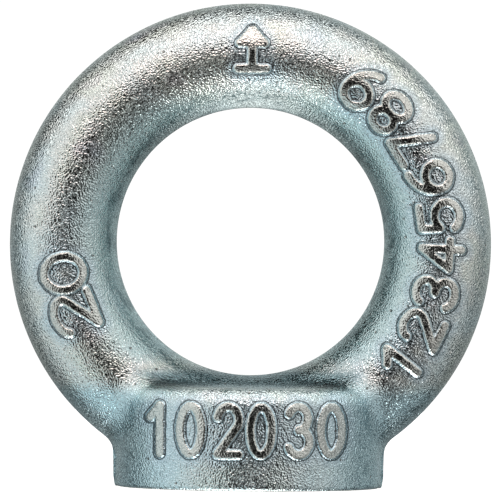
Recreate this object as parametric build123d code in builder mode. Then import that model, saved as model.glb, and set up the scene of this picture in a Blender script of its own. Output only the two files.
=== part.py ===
import math
import os

from build123d import *

os.makedirs("parts", exist_ok=True)

# Lifting eye nut, M20: one drop forging, a round bar closed into a ring and standing on a drum-shaped
# collar, which is faced, drilled and tapped from below.  Lengths in mm, +Z up, the eye looks along Y,
# and the origin is the centre of the faced seat on the thread axis.

# ring and eye
ring_d = 72.0              # outside of the ring
eye_d = 40.0               # clear width of the eye
heel_h = 6.4               # seat to where the outside of the ring springs from the collar
eye_rise = 0.4             # the eye is this much above the ring's own centre, so the crown is thinnest
ring_stations = 16         # sections the ring is drawn through

# collar
collar_d = 40.0            # drum below the ring
shoulder_drop = 1.6        # foot of the eye down to the flat shoulder on either side of the bar
shoulder_round = 2.8       # rolled rim of the shoulder
seat_round = 0.6           # broken edge round the seat
root_share = 0.26          # fillet where the ring grows out of the collar, as a share of the bar

# strip of flash left down both sides of the collar, where the dies parted
flash_w = 2.6              # front to back
flash_proud = 0.35         # over the drum, at the strip's top
flash_draft = 0.15         # what it loses on the way down
flash_toe = 0.35           # and what more it loses at its foot, where it meets the seat
flash_toe_h = 1.5          # height of that foot

# tapped hole, blind, entered from the seat
thread_d = 20.0
thread_pitch = 2.5
roof = 3.7                 # metal left between the hole and the foot of the eye
mouth_d = 21.6             # countersink at the seat
mouth_angle = 120.0        # included

# what follows from the sizes above
ring_r, eye_r, collar_r = ring_d / 2, eye_d / 2, collar_d / 2
root_round = root_share * (ring_r - eye_r)
ring_z = heel_h + math.sqrt(ring_r ** 2 - collar_r ** 2)
eye_z = ring_z + eye_rise
bar_z = (ring_z + eye_z) / 2
foot_h = eye_z - eye_r
shoulder_h = foot_h - shoulder_drop
bore_depth = foot_h - roof
bore_r = thread_d / 2 - 0.541266 * thread_pitch
mouth_h = (mouth_d / 2 - bore_r) / math.tan(math.radians(mouth_angle / 2))
flash_x = collar_r + flash_proud


def reach(angle, centre_z, radius):
    """Distance from the middle of the ring, along a spoke at this angle, to a circle centred at centre_z."""
    below = bar_z - centre_z
    along = below * math.sin(angle)
    return math.sqrt(along ** 2 + radius ** 2 - below ** 2) - along


with BuildPart() as eye_nut:
    # the ring, upper half then lower half: at each spoke a round section as thick as the gap between
    # the outside and the eye
    for first in (0, 180):
        for step in range(ring_stations // 2 + 1):
            spoke = math.radians(first + 360 * step / ring_stations)
            near, far = reach(spoke, eye_z, eye_r), reach(spoke, ring_z, ring_r)
            out = Vector(math.cos(spoke), 0, math.sin(spoke))
            middle = Vector(0, 0, bar_z) + out * (near + far) / 2
            with BuildSketch(Plane(middle, x_dir=out, z_dir=Vector(-out.Z, 0, out.X))):
                Circle((far - near) / 2)
        loft()

    # the drum, turned about the thread axis with its rolled rim and broken seat edge
    with BuildSketch(Plane.XZ) as drum:
        with BuildLine():
            Polyline((0, 0), (collar_r, 0), (collar_r, shoulder_h), (0, shoulder_h), close=True)
        make_face()
        fillet(drum.vertices().group_by(Axis.X)[-1].sort_by(Axis.Y)[-1], shoulder_round)
        fillet(drum.vertices().group_by(Axis.X)[-1].sort_by(Axis.Y)[0], seat_round)
    revolve(axis=Axis.Z)

    # the seat, faced square to the thread
    split(bisect_by=Plane.XY, keep=Keep.TOP)

    # the fillet all round the line where bar and drum meet
    meeting = eye_nut.edges().filter_by(
        lambda e: e.geom_type == GeomType.BSPLINE
        and all(v.Z < shoulder_h + 0.01 and math.hypot(v.X, v.Y) < collar_r + 0.01 for v in e.vertices())
    )
    fillet(meeting, root_round)

    # the strips of flash at either side, drawn in toward the seat and lost in the fillet at the top
    with BuildSketch(Plane.XZ) as strips:
        with BuildLine():
            Polyline((0, 0), (flash_x - flash_draft - flash_toe, 0), (flash_x - flash_draft, flash_toe_h),
                     (flash_x, heel_h), (0, heel_h), close=True)
        make_face()
        mirror(about=Plane.YZ)
    extrude(amount=flash_w / 2, both=True)

    # the tapped hole at its core diameter, with the countersink at its mouth
    with BuildSketch(Plane.XZ) as hole:
        with BuildLine():
            Polyline((0, 0), (mouth_d / 2, 0), (bore_r, mouth_h), (bore_r, bore_depth), (0, bore_depth),
                     close=True)
        make_face()
    revolve(axis=Axis.Z, mode=Mode.SUBTRACT)

eye_nut.part.label = "eye_nut"
export_step(eye_nut.part, "parts/eye_nut.step")
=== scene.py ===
import math

import bmesh
import bpy
from mathutils import Matrix, Vector
from mathutils.kdtree import KDTree


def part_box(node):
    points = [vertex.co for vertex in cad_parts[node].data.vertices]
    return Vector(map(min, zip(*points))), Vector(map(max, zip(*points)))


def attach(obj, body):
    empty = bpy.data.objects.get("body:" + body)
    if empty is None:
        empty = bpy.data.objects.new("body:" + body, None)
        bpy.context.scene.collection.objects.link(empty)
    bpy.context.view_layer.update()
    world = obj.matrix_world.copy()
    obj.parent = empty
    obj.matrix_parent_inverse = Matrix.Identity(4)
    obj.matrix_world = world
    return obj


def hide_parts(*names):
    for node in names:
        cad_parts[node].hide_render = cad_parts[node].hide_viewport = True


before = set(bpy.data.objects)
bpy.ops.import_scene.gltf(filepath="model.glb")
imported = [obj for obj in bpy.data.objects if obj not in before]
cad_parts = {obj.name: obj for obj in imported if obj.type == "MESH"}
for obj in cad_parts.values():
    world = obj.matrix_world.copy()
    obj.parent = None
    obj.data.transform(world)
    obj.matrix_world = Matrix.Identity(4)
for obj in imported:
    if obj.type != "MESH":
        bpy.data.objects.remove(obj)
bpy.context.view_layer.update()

# ---------------------------------------------------------------------------------------------------------
# The stand for the camera
# A long lens on a tripod, about a metre off on the side of the raised marks.  It looks square through the
# eye, from a little below the middle of the ring.
# ---------------------------------------------------------------------------------------------------------

MM = 0.001

low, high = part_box("eye_nut")
ring_r = (high.x - low.x) / 2 / MM
ring_z = high.z / MM - ring_r

focal_length = 457.0
stand_off = 950.0
tripod_side = -0.06
below_ring = 0.87
camera_lean = -0.54


def put_in_scene(name, data):
    """An object that shows a mesh or a camera."""
    made = bpy.data.objects.new(name, data)
    bpy.context.scene.collection.objects.link(made)
    return made


lens = bpy.data.cameras.new("camera")
lens.lens = focal_length
lens.sensor_width = 36.0
lens.clip_start = 0.05
lens.clip_end = 20.0
camera = put_in_scene("camera", lens)
camera.location = Vector((tripod_side, -stand_off, ring_z - below_ring)) * MM
camera.rotation_euler = (math.radians(90), math.radians(camera_lean), 0)
bpy.context.scene.camera = camera
bpy.context.scene.view_settings.view_transform = "Standard"

# ---------------------------------------------------------------------------------------------------------
# The light tent
# A pale table under the nut and a tent of white cloth round both, lit from outside: its walls glow in
# soft arches and panels, which is all that the plated metal has to reflect.  Sizes here are in metres.
# ---------------------------------------------------------------------------------------------------------


class Wire:
    """A socket in a node tree.  Arithmetic on wires and numbers adds the nodes that work it out."""

    def __init__(self, tree, socket=None):
        self.tree = tree
        self.socket = socket

    def node(self, kind, settings=None, sockets=None, out=0):
        """Adds a node, its settings first, then the values or links of its sockets."""
        step = self.tree.nodes.new(kind)
        for name, value in (settings or {}).items():
            if name == "stops":
                ramp = step.color_ramp
                while len(ramp.elements) < len(value):
                    ramp.elements.new(0.5)
                for stop, (place, shade) in zip(ramp.elements, value):
                    stop.position = place
                    stop.color = (*shade, 1.0)
            else:
                setattr(step, name, value)
        for name, value in (sockets or {}).items():
            socket = step.inputs[name]
            if isinstance(value, Wire):
                self.tree.links.new(value.socket, socket)
            elif socket.type == "RGBA" and len(value) == 3:
                socket.default_value = (*value, 1.0)
            else:
                socket.default_value = value
        return Wire(self.tree, step.outputs[out]) if step.outputs else None

    def side(self, out):
        """Another output of the same node."""
        return Wire(self.tree, self.socket.node.outputs[out])

    def math(self, operation, *values):
        return self.node("ShaderNodeMath", {"operation": operation}, dict(enumerate(values)))

    def vector(self, operation, first, second, out=0):
        """Vector Math on a vector and another, or on a vector and the number that scales it."""
        sockets = {0: first, ("Scale" if operation == "SCALE" else 1): second}
        return self.node("ShaderNodeVectorMath", {"operation": operation}, sockets, out)

    def __add__(self, other):
        return self.math("ADD", self, other)

    def __radd__(self, other):
        return self.math("ADD", other, self)

    def __sub__(self, other):
        return self.math("SUBTRACT", self, other)

    def __rsub__(self, other):
        return self.math("SUBTRACT", other, self)

    def __mul__(self, other):
        return self.math("MULTIPLY", self, other)

    def __rmul__(self, other):
        return self.math("MULTIPLY", other, self)

    def __truediv__(self, other):
        return self.math("DIVIDE", self, other)

    def __rtruediv__(self, other):
        return self.math("DIVIDE", other, self)

    def __neg__(self):
        return self.math("MULTIPLY", self, -1.0)

    def root(self):
        return self.math("SQRT", self)

    def least(self, other):
        return self.math("MINIMUM", self, other)

    def most(self, other):
        return self.math("MAXIMUM", self, other)

    def size(self):
        return self.math("ABSOLUTE", self)

    def step(self, start, end, low=0.0, high=1.0):
        """Goes smoothly from low to high as the value goes from start to end."""
        return self.node(
            "ShaderNodeMapRange",
            {"interpolation_type": "SMOOTHSTEP"},
            {"Value": self, "From Min": start, "From Max": end, "To Min": low, "To Max": high},
        )


def emptied(owner):
    """Clears the tree of a material or a world, and gives the wire that its nodes are added from."""
    owner.use_nodes = True
    owner.node_tree.nodes.clear()
    return Wire(owner.node_tree)


def plain_material(name):
    """A new material, and the wire that its nodes are added from."""
    made = bpy.data.materials.new(name)
    return made, emptied(made)


def finish_material(start, surface):
    """Ends a material with what its surface shows."""
    start.node("ShaderNodeOutputMaterial", None, {"Surface": surface})


# the table, which shows from above alone
table_r = 0.45
table_sides = 96
table_gap = 0.00005
table_white, start = plain_material("table_white")
lit = start.node(
    "ShaderNodeBsdfPrincipled",
    None,
    {
        "Base Color": (0.8, 0.8, 0.8),
        "Roughness": 0.7,
        "Specular IOR Level": 0.2,
        "Emission Color": (1.0, 1.0, 1.0),
        "Emission Strength": 0.80,
    },
)
seen_from_below = start.node("ShaderNodeNewGeometry", out="Backfacing")
clear = start.node("ShaderNodeBsdfTransparent")
finish_material(start, start.node("ShaderNodeMixShader", None, {0: seen_from_below, 1: lit, 2: clear}))
rim = [2 * math.pi * i / table_sides for i in range(table_sides)]
corners = [(table_r * math.cos(turn), table_r * math.sin(turn), -table_gap) for turn in rim]
table_mesh = bpy.data.meshes.new("table")
table_mesh.from_pydata(corners, [], [range(table_sides)])
table_mesh.materials.append(table_white)
table = put_in_scene("table", table_mesh)
table.visible_glossy = False
table.visible_shadow = False

# the tent's cloth, which only the lens sees: the light comes from the panels outside it
tent_r = 3.0
tent_white, start = plain_material("tent_white")
finish_material(start, start.node("ShaderNodeEmission", None, {"Color": (1.0, 1.0, 1.0), "Strength": 1.05}))
tent_mesh = bpy.data.meshes.new("tent")
shell = bmesh.new()
bmesh.ops.create_icosphere(shell, subdivisions=4, radius=tent_r)
bmesh.ops.reverse_faces(shell, faces=shell.faces)
shell.to_mesh(tent_mesh)
shell.free()
tent_mesh.materials.append(tent_white)
tent = put_in_scene("tent", tent_mesh)
tent.visible_diffuse = False
tent.visible_glossy = False
tent.visible_transmission = False
tent.visible_shadow = False


def parts_of(wire):
    """A vector's three numbers."""
    first = wire.node("ShaderNodeSeparateXYZ", None, {0: wire})
    return first, first.side("Y"), first.side("Z")


# the light outside: each direction has its angle off the lens, in degrees, and how high it lies round
# the lens, from -1 to 1
speck = 0.001
room = bpy.data.worlds.new("room")
start = emptied(room)
look = start.node("ShaderNodeTexCoord", out="Generated")
x, y, z = parts_of(look)
off_lens = start.math("DEGREES", start.math("ARCCOSINE", -y))
height = z / (x * x + z * z).root().most(speck)


def glow(amount, radiance, tint):
    """Light of one colour, as strong as the amount says."""
    return start.vector("SCALE", [radiance * part for part in tint], amount)


def arch(off_axis, half_width):
    """A soft-edged arch round the lens, this many degrees off its axis."""
    return (off_lens - off_axis).size().step(half_width, 0.0)


def panel(clock, off_axis, reach):
    """A soft-edged panel, all in degrees; clock is its direction round the lens, 90 at the top."""
    turn, lean = math.radians(clock), math.radians(off_axis)
    toward = (math.sin(lean) * math.cos(turn), -math.cos(lean), math.sin(lean) * math.sin(turn))
    cosine = start.vector("DOT_PRODUCT", look, toward, "Value")
    return start.math("DEGREES", start.math("ARCCOSINE", cosine)).step(reach, 0.0)


white, warm, cool, pale = (1.02, 1.01, 1.0), (1.22, 0.93, 0.88), (0.84, 1.04, 1.09), (0.93, 1.02, 1.02)
brighter_up = height.step(-1.1, 0.6)
brightest_on_top = (height.most(0.0) * 1.75 + 0.53) * height.step(-0.82, -0.70)
back_of_tent = off_lens.step(128, 146) * off_lens.step(176, 158)
rig = (
    # the front of the tent, and the lamp over the lens
    glow(arch(49, 35) * brighter_up, 0.98, white),
    glow(panel(93, 46, 20), 2.1, warm),
    # the strip along the tent's ridge, and its walls
    glow(arch(89, 16) * brightest_on_top, 1.0, white),
    glow(panel(190, 82, 60), 0.34, cool),
    glow(panel(24, 118, 60), 0.22, cool),
    glow(panel(236, 59, 36), 0.74, cool),
    glow(panel(262, 36, 25), 0.40, white),
    glow(panel(325, 87, 41), 0.22, cool),
    # the lit edge of the table, before and behind the nut
    glow(panel(270, 80, 32), 3.9, white),
    glow(panel(268, 101, 18), 4.6, white),
    glow(panel(268, 122, 36), 1.7, white),
    # the back of the tent, brighter upward too, with a dark opening opposite the lens
    glow(back_of_tent * (height * 0.22 + 0.42), 1.0, pale),
)
total = rig[0]
for part in rig[1:]:
    total = start.vector("ADD", total, part)
lamps = start.node("ShaderNodeBackground", None, {"Color": total, "Strength": 1.0})
start.node("ShaderNodeOutputWorld", None, {"Surface": lamps})
bpy.context.scene.world = room

# ---------------------------------------------------------------------------------------------------------
# The forging
# One bar of steel, drop forged between two dies into a ring on a drum-shaped collar.  The flash that
# squeezed out between the dies is trimmed off, which leaves a narrow land round the ring and the eye, and
# a strip down either side of the collar.
# ---------------------------------------------------------------------------------------------------------

# sizes from here on are in mm, and the finished mesh is brought to metres at the end
collar_r = (high.y - low.y) / 2 / MM
eye_r = 20.0
eye_z = ring_z + 0.4
foot_z = eye_z - eye_r
shoulder_z = foot_z - 1.6
flash_top = 8.5
forged = {
    "Ring radius": ring_r,
    "Ring height": ring_z,
    "Eye radius": eye_r,
    "Eye height": eye_z,
    "Collar radius": collar_r,
    "Collar hollow": 0.42,
    "Shoulder height": shoulder_z,
    "Rim round": 2.8,
    "Seat round": 0.6,
    "Root round": 4.16,
    "Flash reach": collar_r + 0.35,
    "Flash half width": 1.3,
    "Flash toe": 0.35,
    "Flash toe height": 1.5,
    "Flash round": 0.12,
    "Flash draft": 0.02,
    "Flash weld": 0.3,
    "Flash top": flash_top,
    "Land growth": 0.13,
    "Land half width": 1.5,
    "Wave": 0.05,
    "Wave length": 6.25,
}


def numbered_tree(name, sizes, takes, gives):
    """A geometry tree with one float input for each named size, after the given sockets."""
    made = bpy.data.node_groups.new(name, "GeometryNodeTree")
    for label, kind in takes:
        made.interface.new_socket(label, in_out="INPUT", socket_type=kind)
    for label in sizes:
        made.interface.new_socket(label, in_out="INPUT", socket_type="NodeSocketFloat")
    for label, kind in gives:
        made.interface.new_socket(label, in_out="OUTPUT", socket_type=kind)
    return made, Wire(made).node("NodeGroupInput")


def give(start, results):
    """Links the results to the tree's own outputs."""
    start.node("NodeGroupOutput", None, results)


def give_finished(start, geometry):
    """Ends a tree that makes geometry: copies made real, and the finish put on."""
    real = start.node("GeometryNodeRealizeInstances", None, {"Geometry": geometry})
    sockets = {"Geometry": real, "Material": start.side("Finish")}
    give(start, {"Geometry": start.node("GeometryNodeSetMaterial", None, sockets)})


def call(start, tree, sockets):
    """One use of a node group."""
    return start.node("GeometryNodeGroup", {"node_tree": tree}, sockets)


def named(start, sizes):
    """The tree's own inputs for these sizes."""
    return {name: start.side(name) for name in sizes}


def noise(start, where, scale, detail=0.0, roughness=0.5):
    """Soft noise from 0 to 1, with a mean of one half."""
    return start.node(
        "ShaderNodeTexNoise",
        {"noise_dimensions": "3D"},
        {"Vector": where, "Scale": scale, "Detail": detail, "Roughness": roughness},
    )


# the skin is the surface where this tree's distance is zero
skin, start = numbered_tree(
    "skin_of_forging", forged, [("Point", "NodeSocketVector")], [("Distance", "NodeSocketFloat")]
)
of = named(start, forged)
x, y, z = parts_of(start.side("Point"))

# the bar, round on every spoke and as thick as the gap between the outside and the eye, with its land
up_ring = z - of["Ring height"]
up_eye = z - of["Eye height"]
spoke = (x * x + up_ring * up_ring).root()
from_outside = of["Ring radius"] - spoke
from_eye = (x * x + up_eye * up_eye).root() - of["Eye radius"]
aside = (from_eye - from_outside) * 0.5
across = (aside * aside + y * y).root()
narrow = (y / of["Land half width"]) * (y / of["Land half width"])
land = of["Land growth"] / start.math("EXPONENT", narrow)
bar = across - (from_outside + from_eye) * 0.5 - land
bar = bar.most(-from_outside).most(-from_eye)

# the drum, with its rolled rim above and its broken edge below, and a little hollow at the front, where
# the marks stand
around = (x * x + y * y).root().most(speck)
front = (-y / around).most(0.0)
drum_r = of["Collar radius"] - of["Collar hollow"] * front * front * front


def rounded(over, above, turn):
    """Distance to a quarter-round corner: how far over and above the start of its turn."""
    out, up = over.most(0.0), above.most(0.0)
    return (out * out + up * up).root() + over.most(above).least(0.0) - turn


over_rim = around - drum_r + of["Rim round"]
above_rim = z - of["Shoulder height"] + of["Rim round"]
over_seat = around - drum_r + of["Seat round"]
drum = rounded(over_rim, above_rim, of["Rim round"])
drum = drum.most(rounded(over_seat, of["Seat round"] - z, of["Seat round"]))

# the fillet between them, as a ball rolled along the corner leaves it: it needs the cosine between the
# two surfaces' normals, kept off 1, where they are level and have no corner
bar_side = (aside / across.most(speck)) / spoke.most(speck)
bar_x, bar_y, bar_z = bar_side * x, y / across.most(speck), bar_side * up_ring
rim_out, rim_up = over_rim.most(0.0), above_rim.most(0.0)
rim_size = (rim_out * rim_out + rim_up * rim_up).root().most(speck)
drum_side = rim_out / rim_size / around
cosine = (bar_x * drum_side * x + bar_y * drum_side * y + bar_z * rim_up / rim_size).most(-0.5).least(0.97)
to_bar = of["Root round"] - bar
to_drum = of["Root round"] - drum
shut = 1.0 - cosine * cosine
inside_corner = (to_bar - cosine * to_drum).least(to_drum - cosine * to_bar)
arc = of["Root round"] - (
    (to_bar * to_bar + to_drum * to_drum - 2.0 * cosine * to_bar * to_drum).most(0.0) / shut
).root()
unblended = bar.least(drum)
in_corner = start.math("GREATER_THAN", inside_corner, 0.0)
body = unblended + (arc - unblended) * in_corner

# the strips of flash, with a small draft, drawn in at the toe and welded softly to the drum
toe = (1.0 - z / of["Flash toe height"]).most(0.0) * of["Flash toe"]
flash_x = x.size() - of["Flash reach"] + (of["Flash top"] - z) * of["Flash draft"] + toe
flash_y = y.size() - of["Flash half width"]
strip = rounded(flash_x + of["Flash round"], flash_y + of["Flash round"], of["Flash round"])
strip = strip.most(z - of["Flash top"])
near = (of["Flash weld"] - (body - strip).size()).most(0.0)
body = body.least(strip) - near * near / (of["Flash weld"] * 4)

# the seat, faced square to the thread
faced = body.most(-z)

# dies are never quite true: shallow waves, cut only inward
wave = noise(start, start.side("Point"), 1.0 / of["Wave length"], 2.0)
give(start, {"Distance": faced + wave * of["Wave"]})

# one step of settling a point onto the skin, along the slope of the distance
settle, start = numbered_tree(
    "settle_on_skin", forged, [("Point", "NodeSocketVector")], [("Settled", "NodeSocketVector")]
)
of = named(start, forged)
point = start.side("Point")
feel = 0.04
least_slope = 0.05
slopes = []
for axis in range(3):
    sides = []
    for way in (feel, -feel):
        nudge = [0.0, 0.0, 0.0]
        nudge[axis] = way
        sides.append(call(start, skin, {"Point": start.vector("ADD", point, nudge), **of}))
    slopes.append((sides[0] - sides[1]) / (2 * feel))
slope = start.node("ShaderNodeCombineXYZ", None, {"X": slopes[0], "Y": slopes[1], "Z": slopes[2]})
steep = start.vector("DOT_PRODUCT", slope, slope, "Value")
here = call(start, skin, {"Point": point, **of})
back = start.vector("SCALE", slope, -(here / steep.most(least_slope)))
give(start, {"Settled": start.vector("ADD", point, back)})


def settled_on_skin(start, surface):
    """The mesh with its points moved onto the skin, in three steps."""
    for _ in range(3):
        place = start.node("GeometryNodeInputPosition")
        settled = call(start, settle, {"Point": place, **named(start, forged)})
        surface = start.node("GeometryNodeSetPosition", None, {"Geometry": surface, "Position": settled})
    return surface


# the blank: a block of fine cells, the skin found in it, and its points settled
forging_tree, start = numbered_tree(
    "forging", forged, [("Finish", "NodeSocketMaterial")], [("Geometry", "NodeSocketGeometry")]
)
place = start.node("GeometryNodeInputPosition")
cell = 0.68
room_round = 1.0
reach_x, reach_y = ring_r + room_round, collar_r + room_round
bottom, top = -room_round, high.z / MM + room_round
at_skin = 2.0
block = start.node(
    "GeometryNodeVolumeCube",
    None,
    {
        "Density": at_skin - call(start, skin, {"Point": place, **named(start, forged)}),
        "Background": 0.0,
        "Min": (-reach_x, -reach_y, bottom),
        "Max": (reach_x, reach_y, top),
        "Resolution X": round(2 * reach_x / cell),
        "Resolution Y": round(2 * reach_y / cell),
        "Resolution Z": round((top - bottom) / cell),
    },
)
surface = start.node(
    "GeometryNodeVolumeToMesh", {"resolution_mode": "GRID"}, {"Volume": block, "Threshold": at_skin}
)
give_finished(start, settled_on_skin(start, surface))


def made_by(name, tree, sizes, base=None):
    """Runs a tree on a mesh, its sizes set by the sockets' identifiers, and gives the plain result."""
    holder = put_in_scene(name, base or bpy.data.meshes.new(name))
    maker = holder.modifiers.new("maker", "NODES")
    maker.node_group = tree
    for item in tree.interface.items_tree:
        if item.in_out == "INPUT" and item.name in sizes:
            maker[item.identifier] = sizes[item.name]
    ready = bpy.context.evaluated_depsgraph_get()
    result = bpy.data.meshes.new_from_object(holder.evaluated_get(ready))
    bpy.data.objects.remove(holder)
    return result


blasted_zinc, zinc = plain_material("blasted_zinc")
blank = made_by("forging_blank", forging_tree, {**forged, "Finish": blasted_zinc})

# ---------------------------------------------------------------------------------------------------------
# The raised marks
# Cut into the front die, so they stand proud of the forging: an arrow on the crown that shows the line of
# pull, and plain numbers round the ring, beside the eye and across the collar, as on a dial.
# Each is drawn as the strokes of an engraver's cutter, seen square to the eye.
# ---------------------------------------------------------------------------------------------------------

cutter_half = 0.67
wall = 0.42
strokes = []


def bend(centre_x, centre_y, half_w, half_h, start_at, end_at, bits=18):
    """Part of an oval, between two angles in degrees."""
    turns = [math.radians(start_at + (end_at - start_at) * i / bits) for i in range(bits + 1)]
    return [(centre_x + half_w * math.cos(t), centre_y + half_h * math.sin(t)) for t in turns]


# the digits, one wide and two tall
six = [bend(0.5, 0.62, 0.5, 0.62, 0, 360), bend(1.08, 0.66, 1.08, 1.36, 180, 100, 9)]
digits = {
    "0": [bend(0.5, 1.0, 0.5, 1.0, 0, 360)],
    "1": [[(0.12, 1.5), (0.58, 2.0), (0.58, 0.0)]],
    "2": [bend(0.5, 1.46, 0.5, 0.54, 170, -28) + [(0.0, 0.0), (1.0, 0.0)]],
    "3": [bend(0.47, 1.51, 0.45, 0.49, 155, -85), bend(0.5, 0.53, 0.5, 0.53, 88, -155)],
    "4": [[(0.72, 0.0), (0.72, 2.0), (0.0, 0.6), (1.05, 0.6)]],
    "5": [[(0.92, 2.0), (0.12, 2.0), (0.06, 1.06)] + bend(0.46, 0.64, 0.54, 0.64, 132, -150)],
    "6": six,
    "7": [[(0.0, 2.0), (1.0, 2.0), (0.34, 0.0)]],
    "8": [bend(0.5, 1.5, 0.42, 0.5, 0, 360), bend(0.5, 0.51, 0.5, 0.51, 0, 360)],
    "9": [[(1.0 - u, 2.0 - v) for u, v in stroke] for stroke in six],
}


def cut(digit, centre, across, up, tall, wide):
    """Draws one digit: centre and the two directions in the plane of the ring, sizes over its outside."""
    run, rise = wide - 2 * cutter_half, tall - 2 * cutter_half
    for stroke in digits[digit]:
        strokes.append([centre + across * (u - 0.5) * run + up * (v / 2 - 0.5) * rise for u, v in stroke])


def cut_round_ring(number, first_at, turn_by, off_middle, tall, wide):
    """Angles are in degrees.  A turn that grows has the digits' heads to the eye, one that falls outward."""
    way = math.copysign(1.0, turn_by)
    for i, digit in enumerate(number):
        turn = math.radians(first_at + turn_by * i)
        spoke_out = Vector((math.cos(turn), math.sin(turn)))
        along = Vector((-spoke_out.y, spoke_out.x)) * way
        centre = Vector((0, ring_z)) + spoke_out * ((ring_r + eye_r) / 2 + off_middle)
        cut(digit, centre, along, -spoke_out * way, tall, wide)


# up the right of the ring, and two at the left
cut_round_ring("123456789", -37.5, 11.6, 0.4, tall=7.2, wide=5.3)
cut_round_ring("20", 202.0, -12.6, 0.1, tall=7.3, wide=6.4)

# across the front of the collar, in pairs
collar_pitch, pair_gap, collar_shift, collar_mark_z = 4.8355, 0.7, -0.6, 8.95
for i, digit in enumerate("102030"):
    centre = Vector(((i - 2.5) * collar_pitch + (i // 2 - 1) * pair_gap + collar_shift, collar_mark_z))
    cut(digit, centre, Vector((1, 0)), Vector((0, 1)), tall=8.4, wide=4.5)

# the arrow on the crown, over its bar
tip, brow, bar_up = high.z / MM - 4.1, high.z / MM - 6.1, high.z / MM - 9.95
arrow_half, bar_half = 1.8, 2.1
for stroke in (
    [(0, tip), (-arrow_half, brow), (arrow_half, brow), (0, tip), (0, bar_up)],
    [(-bar_half, bar_up), (bar_half, bar_up)],
):
    strokes.append([Vector(p) for p in stroke])

ink = bpy.data.meshes.new("strokes")
corners, joins = [], []
for stroke in strokes:
    for i, p in enumerate(stroke):
        corners.append((p.x, 0, p.y))
        if i:
            joins.append((len(corners) - 2, len(corners) - 1))
ink.from_pydata(corners, joins, [])
drawing = put_in_scene("strokes", ink)

# the blank gets finer faces where there is fine work: once along the land and at the seat's edge, and
# twice over the flash strips and the marks
dot_gap = 0.3
dots = []
for stroke in strokes:
    for a, b in zip(stroke, stroke[1:]):
        bits = max(1, math.ceil((b - a).length / dot_gap))
        dots += [a.lerp(b, i / bits) for i in range(bits + 1)]
near_stroke = KDTree(len(dots))
for i, p in enumerate(dots):
    near_stroke.insert((p.x, 0, p.y), i)
near_stroke.balance()

front_y = -3.0
mark_reach = cutter_half + wall + 0.35
flash_half = forged["Flash half width"] + 0.7
land_half = forged["Land half width"] + 0.7
land_depth = 1.2
seat_band = 1.2


def fine_work(p):
    """Whether a point is on a mark or on a strip of flash."""
    if p.y < front_y and near_stroke.find((p.x, 0, p.z))[2] < mark_reach:
        return True
    return abs(p.x) > collar_r - 0.9 and abs(p.y) < flash_half and p.z < flash_top - 1.0


def fair_work(p):
    """Whether a point is on the edge of the seat, on the trimmed land or on fine work."""
    seat_edge = p.z < seat_band and math.hypot(p.x, p.y) > collar_r - 1.4
    outside = math.hypot(p.x, p.z - ring_z) > ring_r - land_depth
    inside = math.hypot(p.x, p.z - eye_z) < eye_r + land_depth
    land = abs(p.y) < land_half and (outside or inside)
    return seat_edge or land or fine_work(p)


metal = bmesh.new()
metal.from_mesh(blank)
for wanted in (fair_work, fine_work):
    chosen = {f.index for f in metal.faces if wanted(f.calc_center_median())}
    edges = [e for e in metal.edges if any(f.index in chosen for f in e.link_faces)]
    bmesh.ops.subdivide_edges(metal, edges=edges, cuts=1, use_grid_fill=True)
    metal.faces.index_update()
metal.to_mesh(blank)
metal.free()

# the marks raised: each point is lifted by how near it is to a stroke
far_off = 9.0
marking = {
    "Cutter half width": cutter_half,
    "Wall": wall,
    "Unsteadiness": 0.22,
    "Ring height of marks": 0.5,
    "Collar height of marks": 0.4,
}
marked_tree, start = numbered_tree(
    "marked_forging",
    {**forged, **marking},
    [("Geometry", "NodeSocketGeometry"), ("Strokes", "NodeSocketObject"), ("Finish", "NodeSocketMaterial")],
    [("Geometry", "NodeSocketGeometry")],
)
of = named(start, {**forged, **marking})
surface = settled_on_skin(start, start.side("Geometry"))
drawn = start.node("GeometryNodeObjectInfo", None, {"Object": start.side("Strokes")}, "Geometry")
x, y, z = parts_of(start.node("GeometryNodeInputPosition"))
seen = start.node("ShaderNodeCombineXYZ", None, {"X": x, "Y": 0.0, "Z": z})
away = start.node(
    "GeometryNodeProximity",
    {"target_element": "EDGES"},
    {"Target": drawn, "Source Position": seen},
    "Distance",
)
unsteady = noise(start, seen, 0.9, 1.0) - 0.5
away = away + unsteady * of["Unsteadiness"] + y.step(front_y, front_y + 2.0, 0.0, far_off)
half_wall = of["Wall"] * 0.5
proud = away.step(of["Cutter half width"] + half_wall, of["Cutter half width"] - half_wall)
above_collar = (of["Shoulder height"], of["Shoulder height"] + 2.0)
rise = z.step(*above_collar, of["Collar height of marks"], of["Ring height of marks"])
lift = start.node("ShaderNodeCombineXYZ", None, {"X": 0.0, "Y": -(proud * rise), "Z": 0.0})
surface = start.node(
    "GeometryNodeStoreNamedAttribute",
    {"data_type": "FLOAT", "domain": "POINT"},
    {"Geometry": surface, "Name": "from_stroke", "Value": away.least(far_off)},
)
give_finished(start, start.node("GeometryNodeSetPosition", None, {"Geometry": surface, "Offset": lift}))
sizes = {**forged, **marking, "Strokes": drawing, "Finish": blasted_zinc}
marked = made_by("forging_marked", marked_tree, sizes, blank)

# ---------------------------------------------------------------------------------------------------------
# The tapped hole
# A blind hole bored up from the seat, countersunk so that its first turn isn't left sharp, and tapped
# with a coarse thread.  What the tools take out is one solid, the thread's profile carried up a helix,
# and it is cut from the forging.
# ---------------------------------------------------------------------------------------------------------

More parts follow.
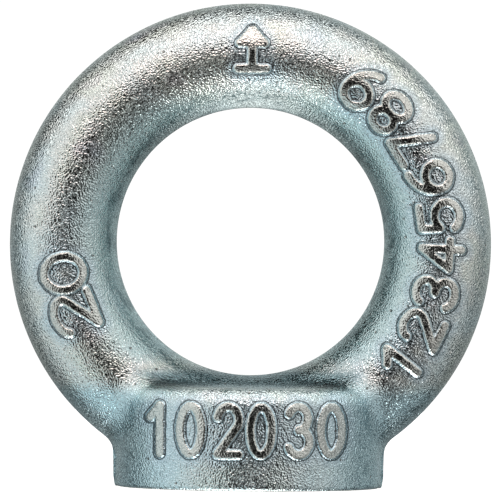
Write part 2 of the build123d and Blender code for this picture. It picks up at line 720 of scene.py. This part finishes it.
hole_depth = foot_z - 3.7
sink_r = 10.8
thread = {
    "Crest radius": 8.647,
    "Root radius": 10.03,
    "Pitch": 2.5,
    "Countersink radius": sink_r,
    "Countersink height": 1.243,
    "Full thread to": 11.3,
    "Run out": 0.4,
    "Hole depth": hole_depth,
    "Start": -0.6,
}
steps_round = 72
profile_parts = 12
first_turn, turns = -1, 8
tap_tree, start = numbered_tree(
    "tap", thread, [("Finish", "NodeSocketMaterial")], [("Geometry", "NodeSocketGeometry")]
)
sheet = start.node(
    "GeometryNodeMeshGrid",
    None,
    {
        "Size X": float(turns),
        "Size Y": 1.0,
        "Vertices X": turns * steps_round + 1,
        "Vertices Y": profile_parts + 1,
    },
    "Mesh",
)
of = named(start, thread)
u, v, _ = parts_of(start.node("GeometryNodeInputPosition"))
turn = u + turns / 2 + first_turn
through = v + 0.5
angle = turn * 2 * math.pi
up = (turn + through) * of["Pitch"]

# the groove, in sixteenths of the pitch: its root one either side of the middle, its flanks five each
from_groove = (through * 16 - 6.5).size()
groove = ((6.0 - from_groove) / 5.0).least(1.0).most(0.0)
groove = groove * up.step(of["Full thread to"] + of["Run out"], of["Full thread to"])
crest_r = of["Crest radius"]
cone = (of["Countersink radius"] - crest_r) / of["Countersink height"]
sunk = crest_r + (of["Countersink height"] - up.most(of["Start"])) * cone
r = (crest_r + (of["Root radius"] - crest_r) * groove).most(sunk)
spot = start.node(
    "ShaderNodeCombineXYZ",
    None,
    {
        "X": r * start.math("COSINE", angle),
        "Y": r * start.math("SINE", angle),
        "Z": up.most(of["Start"]).least(of["Hole depth"]),
    },
)
sheet = start.node("GeometryNodeSetPosition", None, {"Geometry": sheet, "Position": spot})
sheet = start.node("GeometryNodeMergeByDistance", None, {"Geometry": sheet, "Distance": 0.001})
give_finished(start, sheet)
tap_mesh = made_by("tap", tap_tree, {**thread, "Finish": blasted_zinc})

# its ends closed, and its faces turned outward
tool = bmesh.new()
tool.from_mesh(tap_mesh)
bmesh.ops.holes_fill(tool, edges=[e for e in tool.edges if e.is_boundary], sides=0)
bmesh.ops.recalc_face_normals(tool, faces=tool.faces)
tool.to_mesh(tap_mesh)
tool.free()
tap = put_in_scene("tap", tap_mesh)

# the hole cut
forging = put_in_scene("forging", marked)
tapping = forging.modifiers.new("tapping", "BOOLEAN")
tapping.operation = "DIFFERENCE"
tapping.solver = "MANIFOLD"
tapping.object = tap
ready = bpy.context.evaluated_depsgraph_get()
finished = bpy.data.meshes.new_from_object(forging.evaluated_get(ready))
forging.modifiers.clear()
forging.data = finished
for spare in (tap, drawing):
    bpy.data.objects.remove(spare)

# ---------------------------------------------------------------------------------------------------------
# The finish
# The whole nut is shot blasted, then zinc plated and passivated to a clear, faintly blue film.  The seat
# and the hole are machined, so the plating on them is smoother and shows the rings of the tool, and the
# trimmed land and strips are sheared smooth.
# ---------------------------------------------------------------------------------------------------------

flank_blue = (0.66, 0.86, 0.88)
# painted shade for the eye's edge
painted_shade_streaks = (0.14, 0.23, 0.25)
# the collar's blue tint, and painted reflection toward its ends
collar_blue_and_painted_reflection = (0.60, 0.83, 0.90)
# painted shade for the root between the ring and the shoulder
painted_shade_blue = (0.27, 0.40, 0.44)
ground_blue = (0.64, 0.79, 0.88)
rubbed_zinc = (0.74, 0.74, 0.69)
machined_zinc = (0.86, 0.86, 0.82)
# painted shade for the foot of the marks' walls
painted_foot_shade = (0.05, 0.07, 0.08)
# painted shade for the pits
pit_painted_shade = (0.20, 0.19, 0.17)

start = zinc
spot = start.node("ShaderNodeTexCoord", out="Object")
in_mm = start.vector("SCALE", spot, 1 / MM)
x, y, z = parts_of(in_mm)


def cloud(lump, detail=0.0, roughness=0.5, where=in_mm, offset=0.0):
    """Noise with lumps about this many mm long; an offset takes it from a part of the noise of its own."""
    return noise(start, start.vector("ADD", where, (offset, 0.3, 0.7)), 1 / lump, detail, roughness)


def blend(amount, first, second):
    """Goes from the first colour to the second as the amount goes from 0 to 1."""
    sockets = {0: amount, 6: first, 7: second}
    return start.node("ShaderNodeMix", {"data_type": "RGBA"}, sockets, 2)


# where the machine tools have been
around = (x * x + y * y).root()
seat = z.step(0.16, 0.07)
hole = around.step(sink_r + 0.2, sink_r + 0.1) * z.step(hole_depth + 0.2, hole_depth + 0.1)
machined = seat.most(hole)

# the marks: their tops, the foot of their walls, and the ground that they stand on
from_edge = start.node("ShaderNodeAttribute", {"attribute_name": "from_stroke"}, None, "Fac") - cutter_half
mark_top = from_edge.step(-0.02, -0.16)
# painted shade: a dark line at the foot of each mark's wall, where shade falls
mark_foot_painted_shade = from_edge.step(0.10, 0.20) * from_edge.step(0.42, 0.28)
mark_ground = from_edge.step(1.9, 0.4) * (1 - mark_top)

# the blasted grain, softer on the tops of the marks, on low swells, with a few deeper pits
grain_height, rubbed_off, swell_height, pit_depth = 0.116, 0.050, 0.055, 0.10
grain = cloud(0.24)
swell = cloud(1.6, 2.0, offset=3.0)
pit = start.node(
    "ShaderNodeTexVoronoi", {"voronoi_dimensions": "3D"}, {"Vector": in_mm, "Scale": 0.42}, "Distance"
)
pit = pit.step(0.11, 0.05)
blasted = grain * (grain_height - rubbed_off * mark_top) + swell * swell_height - pit * pit_depth

# the land and the flash strips, sheared by the trimming tool: smoother, with fine lines in its direction
spoke = (x * x + (z - ring_z) * (z - ring_z)).root()
to_eye = (x * x + (z - eye_z) * (z - eye_z)).root() - eye_r
land = (ring_r - spoke).least(to_eye).step(0.40, 0.24) * z.step(flash_top - 1.5, flash_top + 0.5)
strip = x.size().step(collar_r + 0.1, collar_r + 0.2) * z.step(foot_z - 6.0, foot_z - 7.0)
sheared = land.most(strip) * y.size().step(1.35, 1.15)
lines = cloud(0.16, 1.0, where=start.vector("MULTIPLY", in_mm, (1.0, 0.07, 1.0)))
blasted = blasted + (lines * 0.06 + swell * 0.08 + grain * 0.05 - blasted) * sheared * 0.8

# the rings that the facing tool left on the seat, and a shallow grain under them and in the hole
tool_feed, ring_height = 0.30, 0.006
rings = start.math("SINE", around * (2 * math.pi / tool_feed)) * ring_height * seat
turned = rings + cloud(0.22, offset=5.0) * 0.02
height_mm = blasted + (turned - blasted) * machined
bump = start.node("ShaderNodeBump", None, {"Strength": 1.0, "Distance": MM, "Height": height_mm}, "Normal")

# the passivated film: clear, with faint blue, green and rose as its thickness varies
film = start.node(
    "ShaderNodeValToRGB",
    {"stops": (
        (0.24, (0.76, 0.85, 0.92)),
        (0.38, (0.81, 0.90, 0.90)),
        (0.50, (0.88, 0.91, 0.88)),
        (0.60, (0.88, 0.92, 0.85)),
        (0.70, (0.91, 0.89, 0.88)),
        (0.80, (0.84, 0.86, 0.93)),
    )},
    {0: cloud(9.0, 2.0, 0.55, offset=7.0)},
)

# thicker and bluer toward the eye, short of the crown, and painted shade in long dark streaks round its edge
round_eye = start.vector("SCALE", in_mm, 6.0 / spoke.most(1.0))
streak = start.node(
    "ShaderNodeTexNoise",
    {"noise_dimensions": "4D"},
    {"Vector": round_eye, "W": to_eye * 2.6 + y * 0.9, "Scale": 1.0, "Detail": 2.0},
)
inner_flank = to_eye.step(9.0, 4.0) * z.step(foot_z + 0.5, foot_z + 4.0) * z.step(ring_z + 24, ring_z + 19)
film = blend(inner_flank * 0.75, film, flank_blue)
# painted shade: darker in streaks round the eye's edge, where the ring shades itself
film = blend(streak.step(0.50, 0.64) * to_eye.step(3.4, 0.8) * 0.55, film, painted_shade_streaks)

# bluer on the collar, and more so toward its ends, which is painted reflection where its round sides turn
# away; and painted shade in the root between the ring and the shoulder
on_collar = z.step(shoulder_z + 1.37, shoulder_z - 1.63)
painted_reflection_toward_ends = x.size().step(6.0, 17.0)
# a blue tint on all the collar, and painted reflection stronger toward its turned-away ends
film = blend(on_collar * (painted_reflection_toward_ends * 0.45 + 0.35), film, collar_blue_and_painted_reflection)
# painted shade: the corner between the ring and the shoulder darkened
root = z.step(shoulder_z - 0.23, shoulder_z + 0.37) * z.step(foot_z + 1.77, foot_z - 0.03)
root = root * x.size().step(collar_r, collar_r - 4.0) * y.size().step(10.0, 7.0)
film = blend(root * 0.85, film, painted_shade_blue)

# bluer round the marks, rubbed on their tops, and painted shade at their feet and in the pits
colour = blend(mark_ground * 0.55, film, ground_blue)
colour = blend(mark_top * 0.75, colour, rubbed_zinc)
# painted shade at the foot of the marks' walls
colour = blend(mark_foot_painted_shade * 0.85, colour, painted_foot_shade)
# painted shade: the pits darkened where shade falls in them
colour = blend(pit * 0.7, colour, pit_painted_shade)
colour = blend(machined, colour, machined_zinc)
roughness = 0.14 + (swell - 0.5) * 0.08 + machined * 0.06 + sheared * 0.12
shine = start.node(
    "ShaderNodeBsdfPrincipled",
    None,
    {"Base Color": colour, "Metallic": 1.0, "Roughness": roughness, "Normal": bump},
)
finish_material(start, shine)

# the finished nut, with the finish in its only slot, brought to metres
finished.materials.pop(index=0)
finished.transform(Matrix.Scale(MM, 4))
finished.polygons.foreach_set("use_smooth", [True] * len(finished.polygons))
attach(forging, "root")
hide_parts("eye_nut")
